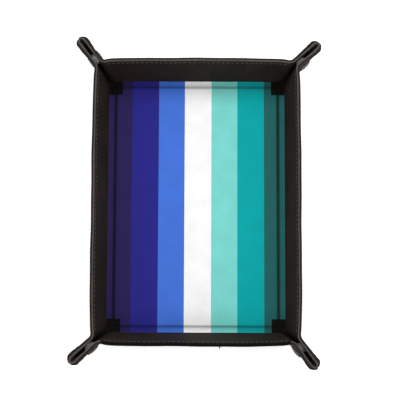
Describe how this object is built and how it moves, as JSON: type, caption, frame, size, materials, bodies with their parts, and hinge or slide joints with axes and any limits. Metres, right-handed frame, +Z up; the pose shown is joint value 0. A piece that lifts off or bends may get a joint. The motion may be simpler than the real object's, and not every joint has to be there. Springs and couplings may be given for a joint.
{
  "type": "folding dice tray",
  "caption": "Rectangular leather folding dice tray: a striped floor, fold-up walls and pinched corner ears held shut by metal snaps.",
  "frame": {"origin": "centre of the bounding box in plan, on the underside that rests on the table", "axes": "+X towards the right long wall, +Y towards the back short wall, along the tray's long way, +Z up"},
  "size_m": [0.226, 0.2996, 0.0366],
  "materials": {
    "outer_leather": "semi-matt fine grain",
    "lining_leather": "semi-matt fine grain",
    "printed_fabric": "matt microfibre, seven printed stripes along Y",
    "board": "raw grey board",
    "thread": "waxed thread",
    "snap_metal": "polished nickel"
  },
  "bodies": {
    "base": {"outer_skin_base": "outer_leather", "base_board": "board", "base_lining": "lining_leather", "play_surface": "printed_fabric"},
    "wall_right": {"wall_skin_right": "outer_leather", "wall_board_right": "board", "wall_lining_right": "lining_leather", "rim_thread_right": "thread"},
    "wall_back": {"wall_skin_back": "outer_leather", "wall_board_back": "board", "wall_lining_back": "lining_leather", "rim_thread_back": "thread"},
    "wall_left": {"wall_skin_left": "outer_leather", "wall_board_left": "board", "wall_lining_left": "lining_leather", "rim_thread_left": "thread"},
    "wall_front": {"wall_skin_front": "outer_leather", "wall_board_front": "board", "wall_lining_front": "lining_leather", "rim_thread_front": "thread"},
    "ear_back_right_long": {"ear_skin_back_right_long": "outer_leather", "ear_lining_back_right_long": "lining_leather", "snap_cap_back_right": "snap_metal", "snap_socket_back_right": "snap_metal"},
    "ear_back_right_short": {"ear_skin_back_right_short": "outer_leather", "ear_lining_back_right_short": "lining_leather", "snap_post_back_right": "snap_metal", "snap_stud_back_right": "snap_metal"},
    "ear_back_left_long": {"ear_skin_back_left_long": "outer_leather", "ear_lining_back_left_long": "lining_leather", "snap_post_back_left": "snap_metal", "snap_stud_back_left": "snap_metal"},
    "ear_back_left_short": {"ear_skin_back_left_short": "outer_leather", "ear_lining_back_left_short": "lining_leather", "snap_cap_back_left": "snap_metal", "snap_socket_back_left": "snap_metal"},
    "ear_front_left_long": {"ear_skin_front_left_long": "outer_leather", "ear_lining_front_left_long": "lining_leather", "snap_post_front_left": "snap_metal", "snap_stud_front_left": "snap_metal"},
    "ear_front_left_short": {"ear_skin_front_left_short": "outer_leather", "ear_lining_front_left_short": "lining_leather", "snap_cap_front_left": "snap_metal", "snap_socket_front_left": "snap_metal"},
    "ear_front_right_long": {"ear_skin_front_right_long": "outer_leather", "ear_lining_front_right_long": "lining_leather", "snap_post_front_right": "snap_metal", "snap_stud_front_right": "snap_metal"},
    "ear_front_right_short": {"ear_skin_front_right_short": "outer_leather", "ear_lining_front_right_short": "lining_leather", "snap_cap_front_right": "snap_metal", "snap_socket_front_right": "snap_metal"}
  },
  "joints": [
    {"name": "fold_wall_right", "type": "hinge", "parent": "base", "child": "wall_right", "pos_m": [0.082, 0, 0.0016], "axis": [0, 1, 0], "range_deg": [0, 77]},
    {"name": "fold_wall_back", "type": "hinge", "parent": "base", "child": "wall_back", "pos_m": [0, 0.117, 0.0016], "axis": [-1, 0, 0], "range_deg": [0, 77]},
    {"name": "fold_wall_left", "type": "hinge", "parent": "base", "child": "wall_left", "pos_m": [-0.082, 0, 0.0016], "axis": [0, -1, 0], "range_deg": [0, 77]},
    {"name": "fold_wall_front", "type": "hinge", "parent": "base", "child": "wall_front", "pos_m": [0, -0.117, 0.0016], "axis": [1, 0, 0], "range_deg": [0, 77]},
    {"name": "crease_back_right_long", "type": "hinge", "parent": "wall_right", "child": "ear_back_right_long", "pos_m": [0.082, 0.11244, 0.0016], "axis": [0.2195, 0.2195, 0.9506], "range_deg": [0, 48.95]},
    {"name": "crease_back_right_short", "type": "hinge", "parent": "wall_back", "child": "ear_back_right_short", "pos_m": [0.07744, 0.117, 0.0016], "axis": [-0.2195, -0.2195, -0.9506], "range_deg": [0, 43.95]},
    {"name": "crease_back_left_long", "type": "hinge", "parent": "wall_left", "child": "ear_back_left_long", "pos_m": [-0.082, 0.11244, 0.0016], "axis": [0.2195, -0.2195, -0.9506], "range_deg": [0, 37.95]},
    {"name": "crease_back_left_short", "type": "hinge", "parent": "wall_back", "child": "ear_back_left_short", "pos_m": [-0.07744, 0.117, 0.0016], "axis": [-0.2195, 0.2195, 0.9506], "range_deg": [0, 54.95]},
    {"name": "crease_front_left_long", "type": "hinge", "parent": "wall_left", "child": "ear_front_left_long", "pos_m": [-0.082, -0.11244, 0.0016], "axis": [-0.2195, -0.2195, 0.9506], "range_deg": [0, 48.95]},
    {"name": "crease_front_left_short", "type": "hinge", "parent": "wall_front", "child": "ear_front_left_short", "pos_m": [-0.07744, -0.117, 0.0016], "axis": [0.2195, 0.2195, -0.9506], "range_deg": [0, 43.95]},
    {"name": "crease_front_right_long", "type": "hinge", "parent": "wall_right", "child": "ear_front_right_long", "pos_m": [0.082, -0.11244, 0.0016], "axis": [-0.2195, 0.2195, -0.9506], "range_deg": [0, 37.95]},
    {"name": "crease_front_right_short", "type": "hinge", "parent": "wall_front", "child": "ear_front_right_short", "pos_m": [0.07744, -0.117, 0.0016], "axis": [0.2195, -0.2195, 0.9506], "range_deg": [0, 54.95]}
  ],
  "couplings": [
    {"joint": "fold_wall_back", "follows": "fold_wall_right", "ratio": 1},
    {"joint": "fold_wall_left", "follows": "fold_wall_right", "ratio": 1},
    {"joint": "fold_wall_front", "follows": "fold_wall_right", "ratio": 1},
    {"joint": "crease_back_right_long", "follows": "fold_wall_right", "ratio": 0.63571},
    {"joint": "crease_back_right_short", "follows": "fold_wall_right", "ratio": 0.57078},
    {"joint": "crease_back_left_long", "follows": "fold_wall_right", "ratio": 0.49286},
    {"joint": "crease_back_left_short", "follows": "fold_wall_right", "ratio": 0.71364},
    {"joint": "crease_front_left_long", "follows": "fold_wall_right", "ratio": 0.63571},
    {"joint": "crease_front_left_short", "follows": "fold_wall_right", "ratio": 0.57078},
    {"joint": "crease_front_right_long", "follows": "fold_wall_right", "ratio": 0.49286},
    {"joint": "crease_front_right_short", "follows": "fold_wall_right", "ratio": 0.71364}
  ]
}
